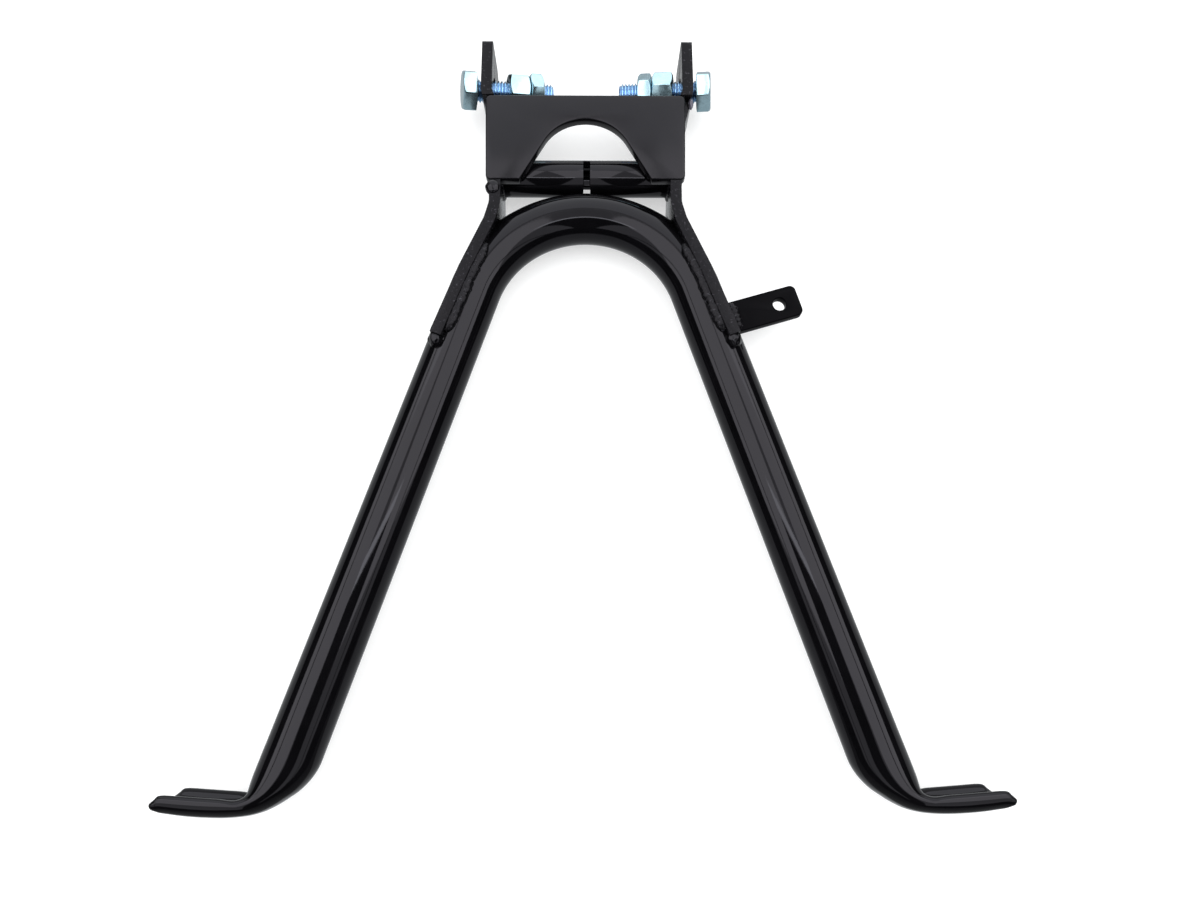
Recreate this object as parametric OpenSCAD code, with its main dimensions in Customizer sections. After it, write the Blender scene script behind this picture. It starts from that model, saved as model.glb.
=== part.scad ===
// Moped centre stand, lying on its back: +X across, +Y from the feet to the
// pivots, +Z up from the surface it lies on. Millimetres.

/* [Main tube] */
// Outside diameter of the leg tube
tube_d = 22; // [20:0.5:24]
// Wall of the leg tube
tube_wall = 2.4; // [1.5:0.1:3]
// Centreline radius of the bend between the legs
bend_r = 50.1; // [48:0.1:54]
// Angle of each leg from straight down
leg_angle = 18.5; // [16:0.5:20]
// Length of the straight, round part of each leg
leg_len = 196; // [150:1:230]
// Height of the tube's axis above the surface
axis_z = 13; // [12:0.5:14]

/* [Feet] */
// Width of the pressed trough over both lips
foot_w = 26; // [23:0.5:27]
// Points round each ring of the pressed foot
foot_seg = 36; // [24:12:72]
// Steps between two stations of the foot
foot_sub = 2; // [1:1:3]

/* [Arms] */
// Thickness of the flat bar of the arms
arm_t = 4.8; // [4:0.1:5.5]
// Height of the arms over the surface they lie on
arm_w = 27; // [26:0.5:29]
// Outer face of the left ear from the middle
ear_left = 46.1; // [45:0.1:49]
// Outer face of the right ear from the middle
ear_right = 47.6; // [45:0.1:49]
// Top edge of the ears above the centre of the bend
ear_top = 131; // [128:0.5:136]
// Radius of the rounded back corner of the ears
ear_corner_r = 13; // [6:0.5:16]
// Diameter of the pivot holes
pivot_hole_d = 12; // [11.8:0.1:13]
// Height of the pivot holes above the centre of the bend
pivot_y = 112.6; // [110:0.1:116]
// Height of the pivot holes over the surface
pivot_z = 15; // [14:0.5:16]
// Radius at the bends of the bar
arm_bend_r = 9; // [4:1:14]

/* [Front plate] */
// Half width of the plate at its top
plate_half_top = 43.9; // [42:0.1:46]
// Half width of the plate at its bottom
plate_half_bottom = 42.8; // [41:0.1:46]
// Bottom edge above the centre of the bend
plate_y0 = 61.6; // [60:0.1:63]
// Top edge above the centre of the bend
plate_y1 = 102.8; // [98:0.1:103]
// Thickness of the plate
plate_t = 5; // [4:0.1:5.5]
// Radius of the arch cut-out
arch_r = 20.4; // [16:0.1:22]
// Centre of the arch above the centre of the bend
arch_y = 70.4; // [68:0.1:72]
// Flare of the straight sides of the arch
arch_flare = 29.5; // [20:0.5:32]
// Radius of the plate's corners
plate_corner_r = 2.4; // [1:0.1:5]

/* [Cross tube] */
// Outside diameter of the cross tube
cross_d = 16; // [14:0.5:16.5]
// Wall of the cross tube
cross_wall = 2; // [1.5:0.1:3]
// Axis above the centre of the bend
cross_y = 69.7; // [69.5:0.1:70.5]
// Width of the saw cut in its middle
slot_w = 3; // [2:0.1:5]

/* [Spring tab] */
// Width of the tab
tab_w = 14; // [10:0.5:16]
// Thickness of the tab
tab_t = 4.5; // [3:0.1:5]
// Diameter of the spring hole
tab_hole_d = 5.6; // [4:0.1:8]
// Distance of the hole from the tab's free end
tab_edge = 8.9; // [6:0.1:12]
// Angle of the tab from straight across
tab_angle = 16.5; // [10:0.5:22]

/* [Pivot bolts] */
// Major diameter of the thread
bolt_d = 9.9; // [9.7:0.05:9.9]
// Length under the head
bolt_len = 35; // [30:1:38]
// Width across flats of heads and nuts
hex_af = 16; // [15:0.1:16.5]
// Height of the head
head_h = 6.4; // [5:0.1:7]
// Height of the full nuts
nut_h = 9.3; // [8:0.1:9.5]
// Height of the lock nuts
lock_h = 6.2; // [4:0.1:6.4]
// Bore of the nuts over the thread
nut_bore_d = 10; // [9.95:0.05:10.2]

/* [Hidden] */
$fn = 64;

BLACK = [0.06, 0.06, 0.065];
ZINC = [0.72, 0.78, 0.84];
eps = 0.02;

// The origin is under the middle of the outline: half way from the belly of
// the feet to the top of the ears.
foot_belly_y = -195.5;
shift_y = -(ear_top + foot_belly_y) / 2;

// Where the right leg leaves the bend, and its direction
leg_p = [bend_r * cos(leg_angle), bend_r * sin(leg_angle)];
leg_a = [sin(leg_angle), -cos(leg_angle)];
leg_n = [cos(leg_angle), sin(leg_angle)];
tube_r = tube_d / 2;
// Vent of the hollow: along the leg, across it, width
vent_at = 10;
vent_off = 5;
vent_d = 3;
// The bent stretch is this much smaller in radius than the straight legs
bend_step = 0.06;

// Stations of the right foot. Each row: a point of the upper line (the lips),
// a point of the lower line (the belly), width over the lips, share of the
// trough in the section. The first lies square across the end of the leg.
leg_end = leg_p + leg_len * leg_a;
STATIONS = [
    [leg_end[0] + tube_r * leg_n[0], leg_end[1] + tube_r * leg_n[1],
     leg_end[0] - tube_r * leg_n[0], leg_end[1] - tube_r * leg_n[1], tube_d, 0],
    [122.4, -173.1, 101.0, -178.2, tube_d, 0],
    [124.3, -178.9, 103.8, -182.6, 22.2, 0],
    [125.7, -183.1, 107.5, -186.4, 22.8, 0.03],
    [126.6, -185.6, 111.5, -189.2, 23.6, 0.12],
    [127.4, -187.0, 115.6, -191.7, 24.6, 0.35],
    [128.6, -187.8, 120.0, -193.7, 25.4, 0.65],
    [130.6, -188.0, 125.0, -194.9, foot_w, 0.88],
    [134.0, -187.8, 132.0, -195.5, foot_w, 1],
    [140.0, -187.4, 140.0, -195.4, foot_w, 1],
    [147.0, -186.9, 147.5, -194.9, foot_w, 1],
    [154.4, -186.5, 153.6, -194.1, foot_w, 1],
    [156.4, -187.7, 155.4, -193.7, foot_w - 0.6, 1],
    [158.2, -189.2, 156.8, -192.9, foot_w - 1.6, 1]];

// Pressed trough, round from the valley (0 degrees) over a lip to the belly
// (180 degrees) in steps of 10: height as a share, half width as a share
TROUGH_U = [.50, .50, .51, .56, .68, .86, .98, 1, .93, .77, .59, .43, .30, .20,
            .125, .07, .03, .01, 0];
TROUGH_V = [0, .14, .28, .42, .55, .66, .77, .88, .96, 1, .99, .94, .85, .74,
            .61, .47, .32, .16, 0];

function half(th) = th > 180 ? 360 - th : th;
function table(t, th) = let (k = floor(th / 10), f = th / 10 - k)
    k >= 18 ? t[18] : t[k] * (1 - f) + t[k + 1] * f;
function cr(a, b, c, d, t) = 0.5 * (2 * b + (c - a) * t
    + (2 * a - 5 * b + 4 * c - d) * t * t + (3 * b - a - 3 * c + d) * t * t * t);
function station(k) = let (n = len(STATIONS) - 1, i = min(floor(k), n - 1), t = k - i)
    cr(STATIONS[max(i - 1, 0)], STATIONS[i], STATIONS[i + 1], STATIONS[min(i + 2, n)], t);
function foot_point(s, th, side) = let (
        b = max(0, min(1, s[5])),
        u = (1 - b) * (1 + cos(th)) / 2 + b * table(TROUGH_U, half(th)),
        v = (1 - b) * sin(th) + b * table(TROUGH_V, half(th)) * sign(sin(th)),
        r = 1 - eps / tube_r)
    [side * (s[2] + (s[0] - s[2]) * (0.5 + (u - 0.5) * r)),
     s[3] + (s[1] - s[3]) * (0.5 + (u - 0.5) * r),
     axis_z + v * s[4] / 2 * r];

// Closes the ring of n points from number o on, in strips between the trough's
// inside and its belly
function cap(o, n) = [for (j = [0:n / 4 - 1], m = [0, 1], h = [0, 1])
    let (d = n / 2 - j, last = j == n / 4 - 1,
         t = h == 0 ? [j, j + 1, last ? d : d - 1] : [j, d - 1, d])
    if (h == 0 || !last)
        [for (i = [0:2]) o + (m == 0 ? t[i] : (n - t[2 - i]) % n)]];

// Pressed and turned end of the tube. side is 1 on the right and -1 on the left
module foot(side) {
    rings = foot_sub * (len(STATIONS) - 1);
    n = foot_seg;
    pts = [for (k = [0:rings]) let (s = station(k / foot_sub))
           for (j = [0:n - 1]) foot_point(s, 360 * j / n, side)];
    walls = [for (k = [0:rings - 1], j = [0:n - 1], h = [0, 1])
        let (a = k * n + j, b = k * n + (j + 1) % n, c = a + n, d = b + n)
        h == 0 ? [a, c, b] : [b, c, d]];
    faces = concat(cap(0, n), [for (f = cap(rings * n, n)) [f[0], f[2], f[1]]], walls);
    polyhedron(points = pts, faces = side > 0 ? faces : [for (f = faces) [f[0], f[2], f[1]]]);
}

// The bend between the legs at radius r, turned on by more degrees at each end
module bend(r, more) translate([0, 0, axis_z]) rotate([0, 0, leg_angle - more])
    rotate_extrude(angle = 180 - 2 * leg_angle + 2 * more)
        translate([bend_r, 0]) circle(r = r);

// One straight leg at radius r, from start (measured from the bend) to end
module leg(r, side, start, end) translate([side * leg_p[0], leg_p[1], axis_z])
    rotate([0, 0, side * leg_angle]) rotate([90, 0, 0])
        translate([0, 0, start]) cylinder(r = r, h = end - start);

module main_tube() color(BLACK) translate([0, shift_y, 0]) {
    difference() {
        union() {
            bend(tube_r - bend_step, 0);
            for (side = [-1, 1]) leg(tube_r, side, 0, leg_len);
        }
        bend(tube_r - tube_wall + bend_step, 0);
        for (side = [-1, 1]) leg(tube_r - tube_wall, side, 0, leg_len - 4);
        // vent for the hollow, covered by the strip of the left arm
        translate([-(leg_p[0] + vent_at * leg_a[0] + vent_off * leg_n[0]),
                   leg_p[1] + vent_at * leg_a[1] + vent_off * leg_n[1], axis_z])
            cylinder(d = vent_d, h = tube_r, $fn = 32);
    }
    foot(1);
    foot(-1);
}

// Replaces each inner corner of a path with an arc of radius r in n steps
function unit(v) = v / norm(v);
function arc_at(a, b, c, r, n) = let (
        u = unit(a - b), w = unit(c - b), ang = acos(u * w),
        d = min(r / tan(ang / 2), 0.45 * norm(a - b), 0.45 * norm(c - b)),
        rr = d * tan(ang / 2), o = b + unit(u + w) * rr / sin(ang / 2),
        p = b + u * d - o, q = b + w * d - o,
        turn = 180 - ang)
    [for (k = [0:n]) let (t = k / n)
        o + (sin((1 - t) * turn) * p + sin(t * turn) * q) / sin(turn)];
function round_path(pts, r, n) = concat([pts[0]],
    [for (i = [1:len(pts) - 2]) each arc_at(pts[i - 1], pts[i], pts[i + 1], r, n)],
    [pts[len(pts) - 1]]);
// The same path moved by t to its left
function normal_at(p, i) = let (n = len(p) - 1,
        a = unit(p[min(i + 1, n)] - p[min(i, n - 1)]),
        b = unit(p[max(i, 1)] - p[max(i - 1, 0)]),
        na = [-a[1], a[0]], nb = [-b[1], b[0]])
    (na + nb) / (1 + na * nb);
function moved(p, t) = [for (i = [0:len(p) - 1]) p[i] + t * normal_at(p, i)];

// Outer face of the right arm from its foot to the ear, seen from the front
function arm_path(ear) = round_path([
    [63.8, -7.6], [52.9, 21.6], [43.0, 43.9], [41.1, 51], [41.2, 58],
    [42.6, ear > 46.8 ? 87 : 94], [ear, 105.5], [ear, ear_top]], arm_bend_r, 4);

// What the bar keeps of its height, seen from the side: Y across, Z up
module arm_side() {
    difference() {
        translate([-20, 0]) square([ear_top + 20, arm_w]);
        // rounded back corner of the ear
        translate([ear_top - ear_corner_r, 0]) difference() {
            translate([0, -1]) square([ear_corner_r + 1, ear_corner_r + 1]);
            translate([0, ear_corner_r]) circle(r = ear_corner_r);
        }
        // recess for the front plate
        translate([plate_y0, arm_w - plate_t]) square([plate_y1 - plate_y0, plate_t + 1]);
        // cut away behind the leg, with a rounded corner
        translate([-21, -1]) square([21 + 54, axis_z + 1]);
        translate([53, -1]) square([5, 5]);
        translate([54, 4]) difference() {
            translate([-1, -1]) square([5, 10]);
            translate([6, 3]) circle(r = 6);
        }
        // pivot hole
        translate([pivot_y, pivot_z]) circle(d = pivot_hole_d);
    }
}

module arm(ear) {
    p = arm_path(ear);
    q = moved(p, arm_t);
    difference() {
        intersection() {
            linear_extrude(arm_w)
                polygon(concat(p, [for (i = [len(q) - 1:-1:0]) q[i]]));
            translate([20, 0, 0]) rotate([90, 0, 90])
                linear_extrude(60) arm_side();
        }
        bend(tube_r - bend_step, leg_angle);
        leg(tube_r, 1, 0, leg_len);
    }
}

module left_arm() color(BLACK) translate([0, shift_y, 0]) mirror([1, 0, 0]) arm(ear_left);
module right_arm() color(BLACK) translate([0, shift_y, 0]) arm(ear_right);

module front_plate() color(BLACK)
    translate([0, shift_y, arm_w - plate_t]) linear_extrude(plate_t) difference() {
        h = plate_y1 - plate_y0;
        c = plate_corner_r;
        polygon(round_path([
            [0, plate_y0], [plate_half_bottom, plate_y0], [plate_half_top, plate_y1],
            [-plate_half_top, plate_y1], [-plate_half_bottom, plate_y0], [0, plate_y0]], c, 6));
        translate([0, arch_y]) circle(r = arch_r);
        // straight sides, tangent to the arch
        ty = arch_r * sin(arch_flare);
        tx = arch_r * cos(arch_flare);
        by = arch_y - plate_y0 + 2;
        bx = tx + (ty + by) * tan(arch_flare);
        translate([0, arch_y]) polygon([[tx, ty], [-tx, ty], [-bx, -by], [bx, -by]]);
    }

module cross_tube() color(BLACK) translate([0, shift_y, 0]) difference() {
    translate([-41, cross_y, axis_z]) rotate([0, 90, 0]) difference() {
        cylinder(d = cross_d, h = 82);
        translate([0, 0, -1]) cylinder(d = cross_d - 2 * cross_wall, h = 84);
    }
    // ends meet the inner faces of the arms
    for (side = [-1, 1]) {
        p = arm_path(side > 0 ? ear_right : ear_left);
        q = moved(p, arm_t);
        translate([0, 0, -5]) linear_extrude(40)
            polygon(concat([for (v = q) [side * v[0], v[1]]], [[side * 90, 131], [side * 90, -10]]));
    }
    // saw cut from below, which leaves the upper back wall
    translate([0.5, cross_y, axis_z]) rotate([-24, 0, 0])
        translate([-slot_w / 2, -20, -20]) cube([slot_w, 22.7, 40]);
}

// Free end of the tab along its own direction from the bend's centre
tab_end = 91.2;
module spring_tab() color(BLACK) translate([0, shift_y, 0]) difference() {
    rotate([0, 0, tab_angle]) translate([0, -14.7, axis_z - tab_t / 2])
        linear_extrude(tab_t) difference() {
            polygon(round_path([[50, 0], [50, -tab_w / 2], [tab_end, -tab_w / 2],
                [tab_end, tab_w / 2], [50, tab_w / 2], [50, 0]], 2.6, 6));
            translate([tab_end - tab_edge, 0]) circle(d = tab_hole_d);
        }
    leg(tube_r, 1, -1, leg_len);
    // nothing of it inside the tube
    translate([leg_p[0], leg_p[1], -1]) rotate([0, 0, leg_angle])
        translate([-60, -90, 0]) cube([60, 110, 40]);
}

// Hexagon along +X with the corners cut back at 30 degrees. corner is the
// angle of one corner from +Z towards -Y
module hexagon(h, corner, both) {
    c = hex_af / sqrt(3);
    f = 0.475 * hex_af;
    rise = (c + 1 - f) * tan(30);
    intersection() {
        rotate([corner, 0, 0]) rotate([0, 90, 0]) rotate([0, 0, 180])
            cylinder(r = c, h = h, $fn = 6);
        rotate([0, 90, 0]) union() {
            translate([0, 0, h - rise]) cylinder(r1 = c + 1, r2 = f, h = rise);
            translate([0, 0, both ? rise : 0]) cylinder(r = c + 1, h = h - (both ? 2 : 1) * rise);
            if (both) cylinder(r1 = f, r2 = c + 1, h = rise);
        }
    }
}

// Bolt along +X: the head starts at s and the threaded shank runs back from it
module bolt(s, corner) {
    translate([s, 0, 0]) hexagon(head_h, corner, false);
    translate([s, 0, 0]) rotate([0, -90, 0]) {
        translate([0, 0, -0.5]) cylinder(d = bolt_d, h = bolt_len - 0.5);
        translate([0, 0, bolt_len - 1]) cylinder(d1 = bolt_d, d2 = bolt_d - 2, h = 1);
    }
}

// Nut along +X from s on the bolt's axis
module nut(s, h, corner) translate([s, 0, 0]) difference() {
    hexagon(h, corner, true);
    translate([-1, 0, 0]) rotate([0, 90, 0]) cylinder(d = nut_bore_d, h = h + 2);
    translate([-0.01, 0, 0]) rotate([0, 90, 0]) cylinder(d1 = nut_bore_d + 1, d2 = nut_bore_d, h = 0.5);
    translate([h - 0.49, 0, 0]) rotate([0, 90, 0]) cylinder(d1 = nut_bore_d, d2 = nut_bore_d + 1, h = 0.5);
}

// The bolts hang in their clearance holes with their nuts lower than their
// heads. rise is the climb of the axis to the head, drop its slope to the feet
module in_left_ear(rise, drop) translate([-ear_left + arm_t / 2, pivot_y + shift_y, pivot_z])
    mirror([1, 0, 0]) rotate([0, 0, -drop]) rotate([0, -rise, 0]) children();
module in_right_ear(rise, drop) translate([ear_right - arm_t / 2, pivot_y + shift_y, pivot_z])
    rotate([0, 0, -drop]) rotate([0, -rise, 0]) children();

rise_l = 13;
drop_l = 5;
rise_r = 8;
drop_r = 2.3;

module left_pivot_bolt() color(ZINC) in_left_ear(rise_l, drop_l) bolt(6, 40);
module left_nut() color(ZINC) in_left_ear(rise_l, drop_l) nut(-17.8, nut_h, 35);
module left_lock_nut() color(ZINC) in_left_ear(rise_l, drop_l) nut(-18.1 - lock_h, lock_h, 11);
module right_pivot_bolt() color(ZINC) in_right_ear(rise_r, drop_r) bolt(5.2, 43);
module right_nut() color(ZINC) in_right_ear(rise_r, drop_r) nut(-14.6, nut_h, 9);
module right_lock_nut() color(ZINC) in_right_ear(rise_r, drop_r) nut(-15 - lock_h, lock_h, 55);

main_tube();
left_arm();
right_arm();
front_plate();
cross_tube();
spring_tab();
left_pivot_bolt();
right_pivot_bolt();
left_nut();
right_nut();
left_lock_nut();
right_lock_nut();
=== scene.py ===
import math

import bmesh
import bpy
from mathutils import Matrix, Vector, noise


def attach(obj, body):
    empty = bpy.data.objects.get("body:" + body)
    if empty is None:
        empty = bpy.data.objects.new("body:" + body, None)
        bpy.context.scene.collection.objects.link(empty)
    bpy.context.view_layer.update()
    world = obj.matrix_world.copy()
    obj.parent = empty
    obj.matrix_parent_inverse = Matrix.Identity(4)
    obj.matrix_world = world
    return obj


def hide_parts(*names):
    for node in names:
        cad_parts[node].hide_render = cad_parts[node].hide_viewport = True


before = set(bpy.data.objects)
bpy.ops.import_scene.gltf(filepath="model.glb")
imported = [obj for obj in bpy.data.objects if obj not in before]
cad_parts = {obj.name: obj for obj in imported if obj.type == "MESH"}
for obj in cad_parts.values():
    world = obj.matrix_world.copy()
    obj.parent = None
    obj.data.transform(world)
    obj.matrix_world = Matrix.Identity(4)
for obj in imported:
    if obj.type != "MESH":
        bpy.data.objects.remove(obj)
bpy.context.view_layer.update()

# ---------------------------------------------------------------- dimensions
# Millimetres in the drawing's frame: y is measured from the centre of the bend
# and SHIFT moves it to the row's frame. The numbers repeat part.scad.
SHIFT = 32.25
AX = 13.0            # height of the tube's axis
R = 11.0             # tube radius
BEND = 50.1
LEG_A = math.radians(18.5)
LEG_LEN = 196.0
ARM_T, ARM_W = 4.8, 27.0
EAR_L, EAR_R, EAR_TOP, EAR_CORNER = 46.1, 47.6, 131.0, 13.0
PIV_Y, PIV_Z, PIV_D = 112.6, 15.0, 12.0
P_Y0, P_Y1, P_T = 61.6, 102.8, 5.0
FOOT_W = 26.0


def mm(p):
    """A point of the drawing in metres, in the row's frame."""
    return Vector((p[0] / 1000, (p[1] + SHIFT) / 1000, p[2] / 1000))


LEG_P = (BEND * math.cos(LEG_A), BEND * math.sin(LEG_A))
LEG_D = (math.sin(LEG_A), -math.cos(LEG_A))
LEG_N = (math.cos(LEG_A), math.sin(LEG_A))
LEG_E = (LEG_P[0] + LEG_LEN * LEG_D[0], LEG_P[1] + LEG_LEN * LEG_D[1])


# ---------------------------------------------------------------- mesh helpers
def obj_from(name, verts, faces, metres=False):
    me = bpy.data.meshes.new(name)
    me.from_pydata([tuple(v) if metres else tuple(mm(v)) for v in verts], [], faces)
    me.update()
    o = bpy.data.objects.new(name, me)
    bpy.context.scene.collection.objects.link(o)
    bm = bmesh.new()
    bm.from_mesh(me)
    bmesh.ops.remove_doubles(bm, verts=bm.verts, dist=1e-7)
    bmesh.ops.dissolve_degenerate(bm, dist=1e-7, edges=bm.edges)
    bmesh.ops.recalc_face_normals(bm, faces=bm.faces)
    bm.to_mesh(me)
    bm.free()
    return o


def apply_mods(o):
    dg = bpy.context.evaluated_depsgraph_get()
    me = bpy.data.meshes.new_from_object(o.evaluated_get(dg))
    old = o.data
    o.modifiers.clear()
    o.data = me
    bpy.data.meshes.remove(old)


def cut(o, cutter):
    m = o.modifiers.new("cut", "BOOLEAN")
    m.operation = "DIFFERENCE"
    m.solver = "EXACT"
    m.object = cutter
    apply_mods(o)
    bpy.data.objects.remove(cutter, do_unlink=True)


def smooth(o, angle=30.0):
    """Smooth shading, split at edges sharper than angle."""
    me = o.data
    bm = bmesh.new()
    bm.from_mesh(me)
    lim = math.radians(angle)
    for f in bm.faces:
        f.smooth = True
    for e in bm.edges:
        e.smooth = not (len(e.link_faces) == 2 and e.calc_face_angle(0) > lim)
    bm.to_mesh(me)
    bm.free()


def bevel(o, width, segs=3, angle=32.0):
    m = o.modifiers.new("bevel", "BEVEL")
    m.width = width / 1000
    m.segments = segs
    m.limit_method = "ANGLE"
    m.angle_limit = math.radians(angle)
    m.miter_outer = "MITER_ARC"
    m.use_clamp_overlap = True
    apply_mods(o)


def prism(name, outline, z0, z1):
    n = len(outline)
    v = [(p[0], p[1], z0) for p in outline] + [(p[0], p[1], z1) for p in outline]
    f = [tuple(range(n))[::-1], tuple(range(n, 2 * n))]
    f += [(i, (i + 1) % n, n + (i + 1) % n, n + i) for i in range(n)]
    return obj_from(name, v, f)


def cyl(name, a, b, r, n=64):
    """Cylinder between two points of the drawing."""
    a, b = Vector(a), Vector(b)
    d = (b - a).normalized()
    u = d.orthogonal().normalized()
    w = d.cross(u)
    v, f = [], []
    for q in (a, b):
        for k in range(n):
            t = 2 * math.pi * k / n
            v.append(q + (u * math.cos(t) + w * math.sin(t)) * r)
    f = [tuple(range(n))[::-1], tuple(range(n, 2 * n))]
    f += [(k, (k + 1) % n, n + (k + 1) % n, n + k) for k in range(n)]
    return obj_from(name, v, f)


# ---------------------------------------------------------------- leg tube
STATIONS = [
    (LEG_E[0] + R * LEG_N[0], LEG_E[1] + R * LEG_N[1],
     LEG_E[0] - R * LEG_N[0], LEG_E[1] - R * LEG_N[1], 22.0, 0.0),
    (122.4, -173.1, 101.0, -178.2, 22.0, 0.0),
    (124.3, -178.9, 103.8, -182.6, 22.2, 0.0),
    (125.7, -183.1, 107.5, -186.4, 22.8, 0.03),
    (126.6, -185.6, 111.5, -189.2, 23.6, 0.12),
    (127.4, -187.0, 115.6, -191.7, 24.6, 0.35),
    (128.6, -187.8, 120.0, -193.7, 25.4, 0.65),
    (130.6, -188.0, 125.0, -194.9, FOOT_W, 0.88),
    (134.0, -187.8, 132.0, -195.5, FOOT_W, 1.0),
    (140.0, -187.4, 140.0, -195.4, FOOT_W, 1.0),
    (147.0, -186.9, 147.5, -194.9, FOOT_W, 1.0),
    (154.4, -186.5, 153.6, -194.1, FOOT_W, 1.0),
    (156.4, -187.7, 155.4, -193.7, FOOT_W - 0.6, 1.0),
    (158.2, -189.2, 156.8, -192.9, FOOT_W - 1.6, 1.0)]
TROUGH_U = [.50, .50, .51, .56, .68, .86, .98, 1, .93, .77, .59, .43, .30, .20,
            .125, .07, .03, .01, 0]
TROUGH_V = [0, .14, .28, .42, .55, .66, .77, .88, .96, 1, .99, .94, .85, .74,
            .61, .47, .32, .16, 0]


def cr(a, b, c, d, t):
    return 0.5 * (2 * b + (c - a) * t + (2 * a - 5 * b + 4 * c - d) * t * t
                  + (3 * b - a - 3 * c + d) * t ** 3)


def table(tb, th):
    x = max(0.0, min(18.0, th / 10))
    k = min(int(x), 17)
    a, b, c, d = tb[max(k - 1, 0)], tb[k], tb[k + 1], tb[min(k + 2, 18)]
    return cr(a, b, c, d, x - k)


def station(x):
    n = len(STATIONS) - 1
    i = min(int(x), n - 1)
    q = [STATIONS[max(i - 1, 0)], STATIONS[i], STATIONS[i + 1], STATIONS[min(i + 2, n)]]
    return [cr(*[s[j] for s in q], x - i) for j in range(6)]


def foot_ring(x, side, n):
    s = station(x)
    b = max(0.0, min(1.0, s[5]))
    ring = []
    for j in range(n):
        th = 360 * j / n
        half = 360 - th if th > 180 else th
        sg = 0 if j in (0, n // 2) else (1 if th < 180 else -1)
        u = (1 - b) * (1 + math.cos(math.radians(th))) / 2 + b * table(TROUGH_U, half)
        v = (1 - b) * math.sin(math.radians(th)) + b * table(TROUGH_V, half) * sg
        ring.append((side * (s[2] + (s[0] - s[2]) * u), s[3] + (s[1] - s[3]) * u,
                     AX + v * s[4] / 2))
    return ring


def make_tube():
    n = 96
    rings = []
    sub = 5
    last = (len(STATIONS) - 1) * sub
    for k in range(last, 0, -1):
        rings.append(foot_ring(k / sub, -1, n))

    def ring_at(c, nrm):
        # theta 0 is the outer side, as in foot_ring
        return [(c[0] + R * math.cos(t) * nrm[0], c[1] + R * math.cos(t) * nrm[1],
                 AX + R * math.sin(t))
                for t in [2 * math.pi * j / n for j in range(n)]]
    steps = 24
    for k in range(steps, -1, -1):
        s = LEG_LEN * k / steps
        rings.append(ring_at((-(LEG_P[0] + s * LEG_D[0]), LEG_P[1] + s * LEG_D[1]),
                             (-LEG_N[0], LEG_N[1])))
    a0, a1 = math.pi - LEG_A, LEG_A
    m = 72
    for k in range(1, m):
        a = a0 + (a1 - a0) * k / m
        rings.append(ring_at((BEND * math.cos(a), BEND * math.sin(a)),
                             (math.cos(a), math.sin(a))))
    for k in range(0, steps + 1):
        s = LEG_LEN * k / steps
        rings.append(ring_at((LEG_P[0] + s * LEG_D[0], LEG_P[1] + s * LEG_D[1]),
                             (LEG_N[0], LEG_N[1])))
    for k in range(1, last + 1):
        rings.append(foot_ring(k / sub, 1, n))
    v = [p for r in rings for p in r]
    f = []
    for k in range(len(rings) - 1):
        for j in range(n):
            a, b = k * n + j, k * n + (j + 1) % n
            f.append((a, b, b + n, a + n))
    for o in (0, (len(rings) - 1) * n):
        for j in range(n // 4):
            c, d = n // 2 - j - 1, n // 2 - j
            if j + 1 == c:
                f.append((o + j, o + j + 1, o + d))
                f.append(tuple(o + (n - q) % n for q in (j, j + 1, d)))
            else:
                f.append((o + j, o + j + 1, o + c, o + d))
                f.append(tuple(o + (n - q) % n for q in (j, j + 1, c, d)))
    o = obj_from("leg_tube", v, f)
    bevel(o, 0.5, 3, 40)
    smooth(o, 50)
    return o


# ---------------------------------------------------------------- arms
def unit(a):
    l = math.hypot(*a)
    return (a[0] / l, a[1] / l)


def round_path(pts, r, n, closed=False):
    out = []
    m = len(pts)
    for i in range(m):
        if not closed and i in (0, m - 1):
            out.append(pts[i])
            continue
        a, b, c = pts[i - 1], pts[i], pts[(i + 1) % m]
        ri = r[i] if isinstance(r, (list, tuple)) else r
        u, w = unit((a[0] - b[0], a[1] - b[1])), unit((c[0] - b[0], c[1] - b[1]))
        ang = math.acos(max(-1, min(1, u[0] * w[0] + u[1] * w[1])))
        if ri <= 0 or ang > 3.1:
            out.append(b)
            continue
        d = min(ri / math.tan(ang / 2), 0.45 * math.dist(a, b), 0.45 * math.dist(c, b))
        rr = d * math.tan(ang / 2)
        s = unit((u[0] + w[0], u[1] + w[1]))
        o = (b[0] + s[0] * rr / math.sin(ang / 2), b[1] + s[1] * rr / math.sin(ang / 2))
        p = (b[0] + u[0] * d - o[0], b[1] + u[1] * d - o[1])
        q = (b[0] + w[0] * d - o[0], b[1] + w[1] * d - o[1])
        turn = math.pi - ang
        for k in range(n + 1):
            t = k / n
            e, g = math.sin((1 - t) * turn) / math.sin(turn), math.sin(t * turn) / math.sin(turn)
            out.append((o[0] + e * p[0] + g * q[0], o[1] + e * p[1] + g * q[1]))
    return out


def arm_path(ear):
    return round_path([(63.8, -7.6), (52.9, 21.6), (43.0, 43.9), (41.1, 51), (41.2, 58),
                       (42.6, 87 if ear > 46.8 else 94), (ear, 105.5), (ear, EAR_TOP)],
                      9, 8)


def offset(path, t):
    out = []
    for i, p in enumerate(path):
        a = path[min(i + 1, len(path) - 1)]
        b = path[min(i, len(path) - 2)]
        d1 = unit((a[0] - b[0], a[1] - b[1]))
        c, e = path[max(i, 1)], path[max(i - 1, 0)]
        d0 = unit((c[0] - e[0], c[1] - e[1]))
        na, nb = (-d1[1], d1[0]), (-d0[1], d0[0])
        k = t / (1 + na[0] * nb[0] + na[1] * nb[1])
        out.append((p[0] + k * (na[0] + nb[0]), p[1] + k * (na[1] + nb[1])))
    return out


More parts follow.
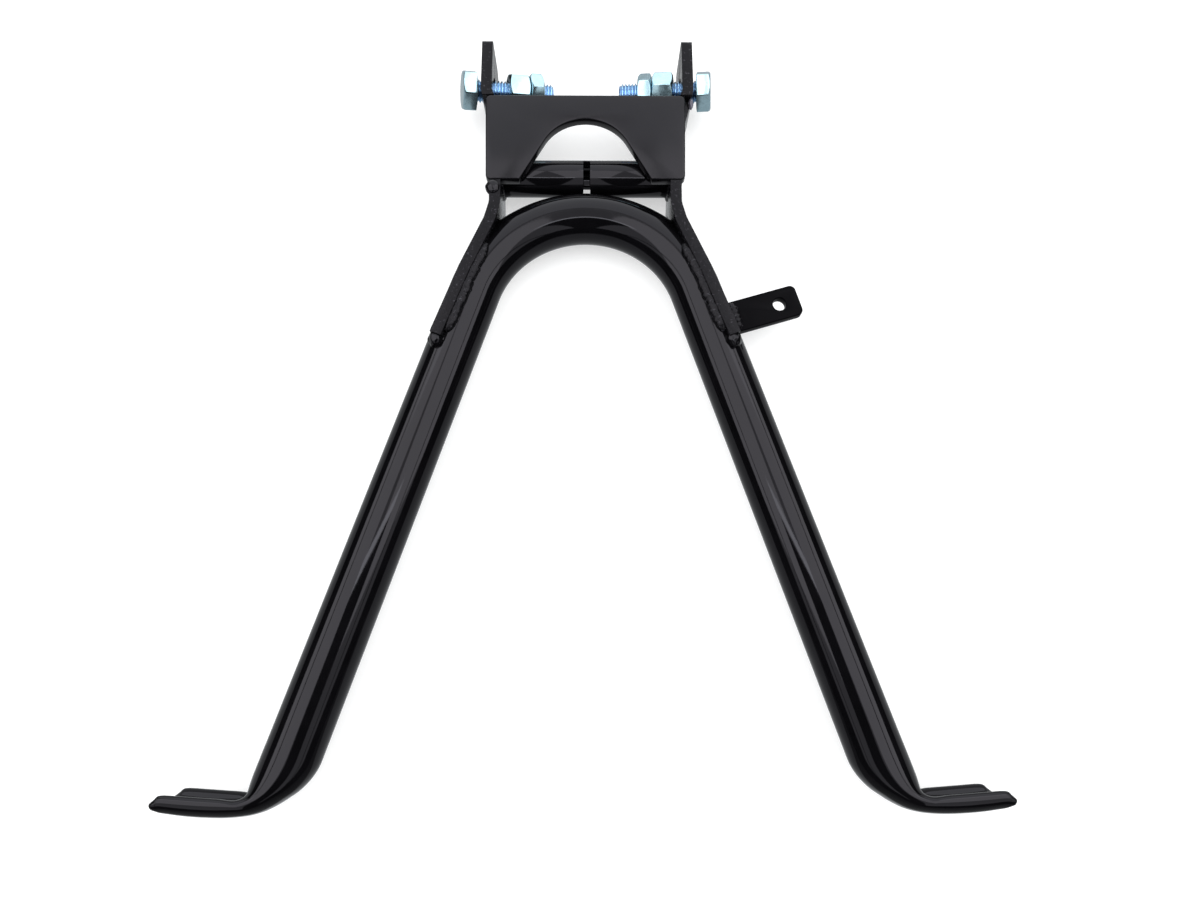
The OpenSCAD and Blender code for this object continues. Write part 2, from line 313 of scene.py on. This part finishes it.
def make_arm(name, ear, side):
    p = arm_path(ear)
    q = offset(p, ARM_T)
    o = prism(name, [(side * x, y) for x, y in p + q[::-1]], 0, ARM_W)
    # side profile: what the bar keeps of its height
    prof = round_path([(-20, AX), (54.0, AX), (54.0, 0), (118, 0), (EAR_TOP, 0),
                       (EAR_TOP, ARM_W), (P_Y1, ARM_W), (P_Y1, ARM_W - P_T),
                       (P_Y0, ARM_W - P_T), (P_Y0, ARM_W), (-20, ARM_W)],
                      [0, 6, 0, 0, EAR_CORNER, 2.2, 0.6, 0, 0, 0.6, 0], 10, True)
    # the keeper is a prism along X
    n = len(prof)
    lo, hi = (20, 80) if side > 0 else (-80, -20)
    v = [(lo, y, z) for y, z in prof] + [(hi, y, z) for y, z in prof]
    f = [tuple(range(n)), tuple(range(2 * n - 1, n - 1, -1))]
    f += [(i, n + i, n + (i + 1) % n, (i + 1) % n) for i in range(n)]
    keep = obj_from("keep", v, f)
    m = o.modifiers.new("keep", "BOOLEAN")
    m.operation = "INTERSECT"
    m.solver = "EXACT"
    m.object = keep
    apply_mods(o)
    bpy.data.objects.remove(keep, do_unlink=True)
    cut(o, cyl("hole", (side * 20, PIV_Y, PIV_Z), (side * 80, PIV_Y, PIV_Z), PIV_D / 2, 56))
    bevel(o, 0.7, 3, 38)
    smooth(o, 34)
    return o


def make_plate():
    y0, y1, r = P_Y0, P_Y1, 20.4
    fl = math.radians(29.5)
    cy = 70.4
    tx, ty = r * math.cos(fl), r * math.sin(fl)
    bx = tx + (ty + cy - y0) * math.tan(fl)
    outer = round_path([(bx, y0), (42.8, y0), (43.9, y1), (-43.9, y1), (-42.8, y0), (-bx, y0)],
                       2.4, 8)
    arch = [(-r * math.cos(fl + (math.pi - 2 * fl) * k / 48),
             cy + r * math.sin(fl + (math.pi - 2 * fl) * k / 48)) for k in range(49)]
    o = prism("plate", outer + arch, ARM_W - P_T, ARM_W)
    bevel(o, 0.75, 3, 30)
    smooth(o, 34)
    return o


def make_cross():
    # the drawing's tube, its ends let a little into the arms
    n = 72
    ends = {}
    v, f = [], []
    for r in (8.0, 6.0):
        for x in (-37.6, 37.6):
            ends[(r, x)] = len(v)
            for k in range(n):
                t = 2 * math.pi * k / n
                v.append((x, 69.7 + r * math.cos(t), AX + r * math.sin(t)))
    for k in range(n):
        k2 = (k + 1) % n
        a, b = ends[(8.0, -37.6)], ends[(8.0, 37.6)]
        c, d = ends[(6.0, -37.6)], ends[(6.0, 37.6)]
        f += [(a + k, a + k2, b + k2, b + k), (c + k, d + k, d + k2, c + k2),
              (a + k, c + k, c + k2, a + k2), (b + k, b + k2, d + k2, d + k)]
    o = obj_from("cross_pipe", v, f)
    w = 1.5
    ca, sa = math.cos(math.radians(-24)), math.sin(math.radians(-24))
    box = []
    for x in (0.5 - w, 0.5 + w):
        for y, z in ((-20, -20), (2.7, -20), (2.7, 20), (-20, 20)):
            box.append((x, 69.7 + y * ca - z * sa, AX + y * sa + z * ca))
    cutter = obj_from("saw", box, [(0, 1, 2, 3), (4, 7, 6, 5), (0, 4, 5, 1), (1, 5, 6, 2),
                                   (2, 6, 7, 3), (3, 7, 4, 0)])
    cut(o, cutter)
    bevel(o, 0.3, 2, 45)
    smooth(o, 35)
    return o


def make_tab():
    a = math.radians(16.5)
    end, w = 91.2, 7.0
    outline = round_path([(54, -w), (end, -w), (end, w), (54, w)], [0, 2.6, 2.6, 0], 10, True)

    def turn(x, y):
        y -= 14.7
        return (x * math.cos(a) - y * math.sin(a), x * math.sin(a) + y * math.cos(a))
    o = prism("tab", [turn(*p) for p in outline], AX - 2.25, AX + 2.25)
    hx, hy = turn(end - 8.9, 0)
    cut(o, cyl("hole", (hx, hy, 0), (hx, hy, 30), 2.8, 48))
    bevel(o, 0.6, 3, 35)
    smooth(o, 34)
    return o


# ---------------------------------------------------------------- hardware
AF = 16.0


def rot_x(a):
    return Matrix.Rotation(math.radians(a), 4, "X")


def ear_matrix(left):
    """Axis frame of a pivot bolt: +X towards its head, origin in the ear."""
    if left:
        x, drop, rise = -EAR_L + ARM_T / 2, 5.0, 13.0
    else:
        x, drop, rise = EAR_R - ARM_T / 2, 2.3, 8.0
    m = Matrix.Translation((x, PIV_Y, PIV_Z))
    if left:
        m = m @ Matrix.Scale(-1, 4, (1, 0, 0))
    return m @ Matrix.Rotation(math.radians(-drop), 4, "Z") @ Matrix.Rotation(math.radians(-rise), 4, "Y")


def hex_mesh(h, corner, both, bore=None, dish=0.0):
    """Rings of a hexagon along +X from 0 to h with 30 degree chamfers."""
    c = AF / 2
    f_r = 0.475 * AF
    t30 = math.tan(math.radians(30))
    n = 96
    rows = []

    def hexr(t):
        return c / math.cos((t + math.pi / 6) % (math.pi / 3) - math.pi / 6)
    th = [2 * math.pi * k / n for k in range(n)]
    # corners of the hexagon lie at 30 degrees and on
    off = math.radians(corner) - math.radians(30)

    def pt(x, r, t):
        a = t + off
        # angle from +Z towards -Y
        return (x, -r * math.sin(a), r * math.cos(a))
    lo = []
    if bore:
        lo.append([pt(0.6, bore, t) for t in th])
        lo.append([pt(0.0, bore + 0.6, t) for t in th])
    else:
        lo.append([pt(0.0, 0.2, t) for t in th])
    if both:
        lo.append([pt(0.0, f_r, t) for t in th])
        lo.append([pt((hexr(t) - f_r) * t30, hexr(t), t) for t in th])
    else:
        lo.append([pt(0.0, c - 0.5, t) for t in th])
        lo.append([pt(0.12, c - 0.15, t) for t in th])
        lo.append([pt(0.12 + 0.15 * (hexr(t) - c) / 1.24, hexr(t) - 0.02, t) for t in th])
    hi = [[pt(h - (hexr(t) - f_r) * t30, hexr(t), t) for t in th],
          [pt(h, f_r, t) for t in th]]
    if bore:
        hi.append([pt(h, bore + 0.6, t) for t in th])
        hi.append([pt(h - 0.6, bore, t) for t in th])
    else:
        if dish:
            hi.append([pt(h, f_r - 1.4, t) for t in th])
            hi.append([pt(h - dish, f_r - 2.2, t) for t in th])
            hi.append([pt(h - dish, 0.2, t) for t in th])
        else:
            hi.append([pt(h, 0.2, t) for t in th])
    rows = lo + hi
    v = [p for r in rows for p in r]
    f = []
    m = len(rows)
    loops = m if bore else m - 1
    for i in range(loops):
        for k in range(n):
            a, b = i * n + k, i * n + (k + 1) % n
            c2 = ((i + 1) % m) * n
            f.append((a, b, c2 + (k + 1) % n, c2 + k))
    if not bore:
        f.append(tuple(range(n)))
        f.append(tuple((m - 1) * n + k for k in range(n))[::-1])
    return v, f


def place(v, mat):
    return [mat @ Vector(p) for p in v]


def thread_mesh(start, length, pitch=1.5, r_out=4.92, depth=0.86, nose=1.0, phase=0.0):
    """Threaded shank from x = start back to start - length."""
    n = 64
    dz = 0.125
    rows = int(length / dz)
    v, f = [], []

    def prof(t):
        # flat crest an eighth, flat root a quarter, straight flanks
        t = t % 1.0
        t = min(t, 1 - t) * 2      # 0 crest, 1 root
        return 0.0 if t < 0.14 else (1.0 if t > 0.80 else (t - 0.14) / 0.66)
    for i in range(rows + 1):
        z = length * i / rows
        for k in range(n):
            t = 2 * math.pi * k / n
            r = r_out - depth * prof(z / pitch + k / n + phase)
            left = length - z
            if left < nose:
                r = min(r, r_out - (nose - left) * 0.95)
            if z < 0.9:
                r = min(r, r_out - depth * (1 - z / 0.9) * 0.4)
            v.append((start - z, -r * math.sin(t), r * math.cos(t)))
    for i in range(rows):
        for k in range(n):
            a, b = i * n + k, i * n + (k + 1) % n
            f.append((a, b, b + n, a + n))
    f.append(tuple(range(n)))
    f.append(tuple(rows * n + k for k in range(n))[::-1])
    return v, f


def join_meshes(parts):
    v, f = [], []
    for pv, pf in parts:
        o = len(v)
        v += pv
        f += [tuple(i + o for i in q) for q in pf]
    return v, f


def make_bolt(name, left, s, corner, phase):
    mat = ear_matrix(left)
    hv, hf = hex_mesh(6.4, corner, False, dish=0.0)
    hv = [(p[0] + s, p[1], p[2]) for p in hv]
    o1 = obj_from(name, place(hv, mat), hf)
    bevel(o1, 0.22, 2, 27)
    smooth(o1, 24)
    tv, tf = thread_mesh(s + 0.3, 35.3, phase=phase)
    o2 = obj_from(name + "_thread", place(tv, mat), tf)
    smooth(o2, 24)
    return o1, o2


def make_nut(name, left, s, h, corner):
    mat = ear_matrix(left)
    v, f = hex_mesh(h, corner, True, bore=4.95)
    v = [(p[0] + s, p[1], p[2]) for p in v]
    o = obj_from(name, place(v, mat), f)
    bevel(o, 0.2, 2, 27)
    smooth(o, 24)
    return o


# ---------------------------------------------------------------- weld beads
def bead(name, path, r, up=(0, 0, 1), flat=0.8, seed=1, ripple=0.16, step=1.5, lump=0.22,
         wander=0.35):
    """A weld bead along a path of the drawing, with ripples across and uneven width."""
    pts = [Vector(p) for p in path]
    length = sum((pts[i + 1] - pts[i]).length for i in range(len(pts) - 1))
    m = max(10, int(length / 0.32))
    dense = []
    for k in range(m + 1):
        want = length * k / m
        i = 0
        while i < len(pts) - 2 and want > (pts[i + 1] - pts[i]).length:
            want -= (pts[i + 1] - pts[i]).length
            i += 1
        seg = pts[i + 1] - pts[i]
        dense.append(pts[i] + seg * min(1.0, want / max(seg.length, 1e-9)))
    n = 20
    v, f = [], []
    upv = Vector(up).normalized()
    for k, c in enumerate(dense):
        a, b = dense[max(k - 1, 0)], dense[min(k + 1, m)]
        d = (b - a).normalized()
        side = d.cross(upv).normalized()
        nrm = side.cross(d).normalized()
        s = length * k / m
        e = min(s, length - s)
        end = math.sqrt(max(0.02, 1 - max(0.0, 1 - e / (r * 2.2)) ** 2))
        rip = ripple * (abs(math.sin(math.pi * s / step + 0.7 * noise.noise(Vector((s * 0.3, seed, 0))))) - 0.5)
        lmp = lump * noise.noise(Vector((s * 0.22, seed * 3.1, 5)))
        rr = r * end * (1 + rip + lmp)
        sway = side * (wander * r * noise.noise(Vector((s * 0.18, seed * 7.7, 2))))
        for j in range(n):
            t = 2 * math.pi * j / n
            q = 1 + 0.10 * noise.noise(Vector((s * 0.8, math.cos(t) * 1.5 + seed, math.sin(t) * 1.5)))
            v.append(c + sway + side * math.cos(t) * rr * q + nrm * math.sin(t) * rr * flat * q)
    for k in range(m):
        for j in range(n):
            a, b = k * n + j, k * n + (j + 1) % n
            f.append((a, b, b + n, a + n))
    f.append(tuple(range(n)))
    f.append(tuple(m * n + j for j in range(n))[::-1])
    o = obj_from(name, v, f)
    smooth(o, 80)
    return o


def blob(name, c, size, seed=1, rough=0.25):
    bm = bmesh.new()
    bmesh.ops.create_icosphere(bm, subdivisions=4, radius=1.0)
    for v in bm.verts:
        d = v.co.normalized()
        k = 1 + rough * noise.noise(d * 1.6 + Vector((seed * 3.3, 0, 0))) \
            + 0.4 * rough * noise.noise(d * 4.0 + Vector((0, seed * 2.1, 0)))
        v.co = mm((c[0] + d.x * size[0] * k, c[1] + d.y * size[1] * k, c[2] + d.z * size[2] * k))
    me = bpy.data.meshes.new(name)
    bm.to_mesh(me)
    bm.free()
    for p in me.polygons:
        p.use_smooth = True
    o = bpy.data.objects.new(name, me)
    bpy.context.scene.collection.objects.link(o)
    return o


def on_strip(y, t, ear=EAR_R):
    """x of the bar's face at height y, t from the outer face (right arm)."""
    p = offset(arm_path(ear), t)
    for i in range(len(p) - 1):
        if p[i][1] <= y <= p[i + 1][1]:
            k = (y - p[i][1]) / max(1e-9, p[i + 1][1] - p[i][1])
            return p[i][0] + k * (p[i + 1][0] - p[i][0])
    return p[0][0]


def tube_z(x, y):
    """Height of the tube's upper surface over (x, y) on the right, or 0."""
    a = math.atan2(y, x)
    if a > LEG_A:
        d = math.hypot(x, y) - BEND
    else:
        d = (x - LEG_P[0]) * LEG_N[0] + (y - LEG_P[1]) * LEG_N[1]
    return AX + math.sqrt(max(0.0, R * R - d * d)) if abs(d) < R else 0.0


# ---------------------------------------------------------------- materials
def new_mat(name):
    m = bpy.data.materials.new(name)
    m.use_nodes = True
    nt = m.node_tree
    nt.nodes.clear()
    out = nt.nodes.new("ShaderNodeOutputMaterial")
    bs = nt.nodes.new("ShaderNodeBsdfPrincipled")
    nt.links.new(bs.outputs[0], out.inputs[0])
    return m, nt, bs


def noise_node(nt, scale, detail=3, rough=0.5, stretch=None):
    tc = nt.nodes.new("ShaderNodeTexCoord")
    src = tc.outputs["Object"]
    if stretch:
        mp = nt.nodes.new("ShaderNodeMapping")
        mp.inputs["Scale"].default_value = stretch
        nt.links.new(src, mp.inputs[0])
        src = mp.outputs[0]
    n = nt.nodes.new("ShaderNodeTexNoise")
    n.inputs["Scale"].default_value = scale
    n.inputs["Detail"].default_value = detail
    n.inputs["Roughness"].default_value = rough
    nt.links.new(src, n.inputs["Vector"])
    return n.outputs["Fac"]


def ramp(nt, src, stops):
    r = nt.nodes.new("ShaderNodeValToRGB")
    e = r.color_ramp.elements
    while len(e) < len(stops):
        e.new(0.5)
    for q, (p, c) in zip(e, stops):
        q.position = p
        q.color = c if len(c) == 4 else (*c, 1)
    nt.links.new(src, r.inputs[0])
    return r.outputs[0]


def bump(nt, src, strength, dist, after=None):
    b = nt.nodes.new("ShaderNodeBump")
    b.inputs["Strength"].default_value = strength
    b.inputs["Distance"].default_value = dist
    nt.links.new(src, b.inputs["Height"])
    if after is not None:
        nt.links.new(after, b.inputs["Normal"])
    return b.outputs[0]


def enamel(name, peel=0.5, rough=(0.10, 0.2), pits=0.0, base=0.0015, ior=1.36):
    m, nt, bs = new_mat(name)
    tint = noise_node(nt, 60, 4, 0.6)
    col = ramp(nt, tint, [(0.3, (base * 0.8, base * 0.78, base * 0.95)),
                          (0.7, (base * 1.5, base * 1.4, base * 1.75))])
    if pits:
        # specks where spatter and dust lie under the film
        fleck = ramp(nt, noise_node(nt, 750, 3, 0.7), [(0.60, (0, 0, 0)), (0.68, (1, 1, 1))])
        mix = nt.nodes.new("ShaderNodeMixRGB")
        mix.inputs["Color2"].default_value = (0.030, 0.029, 0.034, 1)
        nt.links.new(fleck, mix.inputs["Fac"])
        nt.links.new(col, mix.inputs["Color1"])
        col = mix.outputs[0]
    nt.links.new(col, bs.inputs["Base Color"])
    rg = noise_node(nt, 35, 5, 0.65)
    rr = ramp(nt, rg, [(0.35, (rough[0],) * 3), (0.7, (rough[1],) * 3)])
    nt.links.new(rr, bs.inputs["Roughness"])
    bs.inputs["IOR"].default_value = ior
    bs.inputs["Specular Tint"].default_value = (0.94, 0.91, 1.0, 1)
    # long waves of the paint film, fine orange peel and dust nibs
    wave = bump(nt, noise_node(nt, 45, 2, 0.4), 0.30 * peel, 0.0004)
    fine = bump(nt, noise_node(nt, 420, 2, 0.5), 0.10 * peel, 0.0001, wave)
    last = fine
    if pits:
        last = bump(nt, noise_node(nt, 900, 4, 0.7), pits, 0.0003, fine)
        last = bump(nt, noise_node(nt, 380, 4, 0.7), min(1.0, 2.5 * pits), 0.0007, last)
    nt.links.new(last, bs.inputs["Normal"])
    return m


def zinc(name, tint=(0.66, 0.78, 0.88), rough=(0.16, 0.30)):
    m, nt, bs = new_mat(name)
    bs.inputs["Metallic"].default_value = 1.0
    c = noise_node(nt, 220, 3, 0.6)
    col = ramp(nt, c, [(0.25, tuple(t * 0.86 for t in tint)), (0.55, tint),
                       (0.8, (min(1, tint[0] * 1.12), min(1, tint[1] * 1.08), min(1, tint[2] * 1.04)))])
    nt.links.new(col, bs.inputs["Base Color"])
    rg = noise_node(nt, 500, 4, 0.6)
    rr = ramp(nt, rg, [(0.3, (rough[0],) * 3), (0.75, (rough[1],) * 3)])
    nt.links.new(rr, bs.inputs["Roughness"])
    b1 = bump(nt, noise_node(nt, 260, 3, 0.6), 0.12, 0.0002)
    b2 = bump(nt, noise_node(nt, 1500, 3, 0.6), 0.10, 0.00005, b1)
    nt.links.new(b2, bs.inputs["Normal"])
    return m


def assign(o, mat):
    o.data.materials.clear()
    o.data.materials.append(mat)


# One black enamel covers all these pieces; each copy gets its own IOR, so the tab reflects least and the tube
# and plate most: painted sheen, lit and shaded copies of one paint.
TUBE_MAT = enamel("black_enamel_tube", 0.45, (0.05, 0.10), ior=1.33)
PLATE_MAT = enamel("black_enamel_plate", 0.55, (0.14, 0.24), ior=1.33)
BAR_MAT = enamel("black_enamel_bar", 1.2, (0.10, 0.2), 0.16, ior=1.23)
TAB_MAT = enamel("black_enamel_tab", 0.8, (0.2, 0.32), ior=1.1)
WELD_MAT = enamel("black_enamel_weld", 1.8, (0.08, 0.22), 0.22, ior=1.26)
DRIP_MAT = enamel("thin_enamel_drip", 1.0, (0.25, 0.4), 0.0, base=0.09)
ZINC_MAT = zinc("zinc_plate", (0.40, 0.57, 0.64))
THREAD_MAT = zinc("zinc_thread", (0.46, 0.68, 0.90), (0.14, 0.24))
# darker, rougher zinc for the thread's roots: painted shade in the grooves
THREAD_GROOVE_SHADE_MAT = zinc("zinc_thread_root_painted_shade", (0.20, 0.33, 0.52), (0.25, 0.4))


def piece(o, mat, body="frame", nodes=()):
    assign(o, mat)
    if nodes:
        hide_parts(*nodes)
    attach(o, body)
    return o


# ---------------------------------------------------------------- build
piece(make_tube(), TUBE_MAT, nodes=("main_tube",))
piece(make_arm("arm_left", EAR_L, -1), BAR_MAT, nodes=("left_arm",))
piece(make_arm("arm_right", EAR_R, 1), BAR_MAT, nodes=("right_arm",))
piece(make_plate(), PLATE_MAT, nodes=("front_plate",))
piece(make_cross(), TUBE_MAT, nodes=("cross_tube",))
piece(make_tab(), TAB_MAT, nodes=("spring_tab",))

for left in (True, False):
    s = "left" if left else "right"
    head, thread = make_bolt(s + "_bolt", left, 6.0 if left else 5.2,
                             40 if left else 43, 0.2 if left else 0.55)
    piece(head, ZINC_MAT, s + "_pivot", (s + "_pivot_bolt",))
    piece(thread, THREAD_MAT, s + "_pivot", ())
    # the thread's roots get a darker zinc: painted shade in the grooves
    thread.data.materials.append(THREAD_GROOVE_SHADE_MAT)
    back = ear_matrix(left).inverted()
    for p in thread.data.polygons:
        q = back @ Vector((p.center.x * 1000, p.center.y * 1000 - SHIFT, p.center.z * 1000))
        if math.hypot(q.y, q.z) < 4.42 and p.normal.length:
            p.material_index = 1
    piece(make_nut(s + "_full_nut", left, -17.8 if left else -14.6, 9.3, 35 if left else 9),
          ZINC_MAT, s + "_pivot", (s + "_nut",))
    piece(make_nut(s + "_thin_nut", left, -24.3 if left else -21.2, 6.2, 11 if left else 55),
          ZINC_MAT, s + "_pivot", (s + "_lock_nut",))

# weld beads along the strips, on both sides of each bar
for side, ear in ((1, EAR_R), (-1, EAR_L)):
    nm = "right" if side > 0 else "left"
    outer, inner = [], []
    for k in range(41):
        y = -7.0 + 45.0 * k / 40
        xo, xi = on_strip(y, 0.0, ear), on_strip(y, ARM_T, ear)
        zo, zi = tube_z(xo, y), tube_z(xi, y)
        if zo and y < 15:
            outer.append((side * (xo + 0.1), y, zo))
        if zi and y < 34:
            inner.append((side * (xi - 0.5), y, min(zi + 0.5, ARM_W - 2.7)))
    if len(outer) > 4:
        piece(bead("weld_out_" + nm, outer, 0.9, seed=3 if side > 0 else 5, ripple=0.06,
                   lump=0.1, wander=0.1), WELD_MAT)
    if len(inner) > 4:
        piece(bead("weld_in_" + nm, inner, 3.1, flat=0.7, seed=11 if side > 0 else 13,
                   ripple=0.03, step=2.3, lump=0.10, wander=0.10), WELD_MAT)
    piece(blob("weld_end_" + nm, (side * 61.4, -9.8, 22.9), (3.5, 4.0, 3.5),
               seed=2 if side > 0 else 7, rough=0.16), TUBE_MAT)

# weld at the plate's corner, a thin drip on the right ear, and the tab's root
piece(blob("weld_corner_left", (-39.6, 58.0, 26.2), (3.2, 3.7, 2.1), seed=4, rough=0.08), TUBE_MAT)
piece(blob("drip_right", (on_strip(101.6, 0.0) + 0.1, 101.6, 22.5), (1.1, 2.8, 1.9), seed=9,
           rough=0.3), DRIP_MAT)
for nm, s_range, z in (("top", (10.6, 23.2), AX + 2.7), ("under", (10.6, 23.2), AX - 2.7)):
    row = [(LEG_P[0] + q * LEG_D[0] + 11.5 * LEG_N[0], LEG_P[1] + q * LEG_D[1] + 11.5 * LEG_N[1], z)
           for q in [s_range[0] + (s_range[1] - s_range[0]) * k / 20 for k in range(21)]]
    piece(bead("weld_tab_" + nm, row, 2.1, seed=21 if nm == "top" else 23, wander=0.1,
               ripple=0.2, step=2.0), WELD_MAT)
# the cross tube's ends on the bars, and the bars' seams behind the plate
for side, ear in ((1, EAR_R), (-1, EAR_L)):
    nm = "right" if side > 0 else "left"
    x = on_strip(69.7, ARM_T, ear) - 0.2
    loop = [(side * x, 69.7 + 8.2 * math.cos(t), AX + 8.2 * math.sin(t))
            for t in [2 * math.pi * k / 48 for k in range(48)]]
    piece(bead("weld_cross_" + nm, loop, 1.3, up=(1, 0, 0), seed=31 if side > 0 else 33), WELD_MAT)
    seam = [(side * (on_strip(y, ARM_T, ear) - 0.3), y, ARM_W - P_T - 0.2)
            for y in [P_Y0 + 3 + (P_Y1 - P_Y0 - 6) * k / 24 for k in range(25)]]
    piece(bead("weld_plate_" + nm, seam, 1.7, seed=41 if side > 0 else 43), WELD_MAT)

# ---------------------------------------------------------------- stage
floor_me = bpy.data.meshes.new("floor")
floor_me.from_pydata([(-6, -6, 0), (6, -6, 0), (6, 6, 0), (-6, 6, 0)], [], [(0, 1, 2, 3)])
floor = bpy.data.objects.new("floor", floor_me)
bpy.context.scene.collection.objects.link(floor)
fm, fnt, fbs = new_mat("white_card")
fcol = ramp(fnt, noise_node(fnt, 12, 4, 0.6), [(0.3, (0.51, 0.513, 0.51)), (0.7, (0.53, 0.53, 0.528))])
fnt.links.new(fcol, fbs.inputs["Base Color"])
fbs.inputs["Roughness"].default_value = 0.75
fbs.inputs["IOR"].default_value = 1.3
# the floor is a light table: it glows a little, which keeps the shadows faint
fbs.inputs["Emission Color"].default_value = (1, 1, 1, 1)
fbs.inputs["Emission Strength"].default_value = 0.52
assign(floor, fm)

world = bpy.data.worlds.new("studio")
bpy.context.scene.world = world
world.use_nodes = True
wnt = world.node_tree
wnt.nodes.clear()
wo = wnt.nodes.new("ShaderNodeOutputWorld")
bg = wnt.nodes.new("ShaderNodeBackground")
wnt.links.new(bg.outputs[0], wo.inputs[0])
bg.inputs["Color"].default_value = (0.97, 0.985, 1.0, 1)
bg.inputs["Strength"].default_value = 1.1


def card(name, verts, level):
    """A dark or bright card of the studio, seen only in reflections."""
    me = bpy.data.meshes.new(name)
    me.from_pydata([tuple(q / 1000 for q in p) for p in verts], [],
                   [tuple(range(i, i + 4)) for i in range(0, len(verts), 4)])
    o = bpy.data.objects.new(name, me)
    bpy.context.scene.collection.objects.link(o)
    m = bpy.data.materials.new(name)
    m.use_nodes = True
    nt = m.node_tree
    nt.nodes.clear()
    out = nt.nodes.new("ShaderNodeOutputMaterial")
    em = nt.nodes.new("ShaderNodeEmission")
    em.inputs["Color"].default_value = (0.95, 0.98, 1.0, 1)
    em.inputs["Strength"].default_value = level
    nt.links.new(em.outputs[0], out.inputs[0])
    o.data.materials.append(m)
    o.visible_camera = False
    o.visible_diffuse = False
    o.visible_shadow = False
    return o


# dark ring along the horizon, open behind the ears
ring = []
for k in range(24):
    if 3 <= k <= 8:
        continue
    a, b = 2 * math.pi * k / 24, 2 * math.pi * (k + 1) / 24
    r, h = 1600, 800
    ring += [(r * math.cos(a), r * math.sin(a), 0), (r * math.cos(b), r * math.sin(b), 0),
             (r * math.cos(b), r * math.sin(b), h), (r * math.cos(a), r * math.sin(a), h)]
card("dark_ring", ring, 0.02)
# struts of the soft boxes, and the dark bulk of the stand that holds the camera
for nm, x in (("strut_right", 760), ("strut_left", -860)):
    card(nm, [(x, -2500, 760), (x + 70, -2500, 760), (x + 70, 2500, 760), (x, 2500, 760)], 0.05)
# white ceiling behind the ears, seen in the plate
card("ceiling_back", [(-1300, 800, 1600), (1300, 800, 1600), (1300, 2800, 1600), (-1300, 2800, 1600)], 2.1)
card("wall_back", [(-1200, 1550, 0), (1200, 1550, 0), (1200, 1550, 1100), (-1200, 1550, 1100)], 2.0)
# what gloss sees of the table: less light than the eye sees
card("table_in_gloss", [(-4000, -172, -1), (4000, -172, -1), (4000, 4000, -1), (-4000, 4000, -1)], 0.6)
card("table_in_front", [(-4000, -4000, -1), (4000, -4000, -1), (4000, -172, -1), (-4000, -172, -1)], 0.15)
# a narrow lamp past the camera's stand, the highlight on the bend
card("lamp_front", [(-130, -70, 430), (130, -70, 430), (130, -40, 430), (-130, -40, 430)], 6.0)
floor.visible_glossy = False
card("camera_bulk", [(-130, -900, 430), (130, -900, 430), (130, -75, 430), (-130, -75, 430)], 0.03)


def area(name, loc, target, size, power, spread=180):
    l = bpy.data.lights.new(name, "AREA")
    l.shape = "RECTANGLE"
    l.size, l.size_y = size
    l.energy = power
    l.spread = math.radians(spread)
    o = bpy.data.objects.new(name, l)
    bpy.context.scene.collection.objects.link(o)
    o.location = Vector(loc)
    o.rotation_mode = "QUATERNION"
    o.rotation_quaternion = (Vector(target) - Vector(loc)).to_track_quat("-Z", "Y")
    return o


area("soft_left", (-1.1, 0.25, 1.3), (0, 0, 0), (1.6, 2.4), 23)
area("soft_right", (1.1, 0.35, 1.3), (0, 0, 0), (1.6, 2.4), 23)

# ---------------------------------------------------------------- camera
cam_data = bpy.data.cameras.new("camera")
cam_data.sensor_fit = "HORIZONTAL"
cam_data.sensor_width = 36.0
cam_data.lens = 903.0 / 1200 * 36.0
cam_data.clip_start, cam_data.clip_end = 0.01, 50
cam = bpy.data.objects.new("camera", cam_data)
bpy.context.scene.collection.objects.link(cam)
u = Vector((0.99992, -0.00365, 0.01188))
v = Vector((0.0007, 0.97082, 0.23981))
w = Vector((-0.01241, -0.23979, 0.97075))
rot = Matrix((u, v, w)).transposed()
cam.matrix_world = Matrix.Translation(Vector((0.00133, -0.11162, 0.37472))) @ rot.to_4x4()
bpy.context.scene.camera = cam
bpy.context.scene.view_settings.view_transform = "Standard"

bpy.context.view_layer.update()
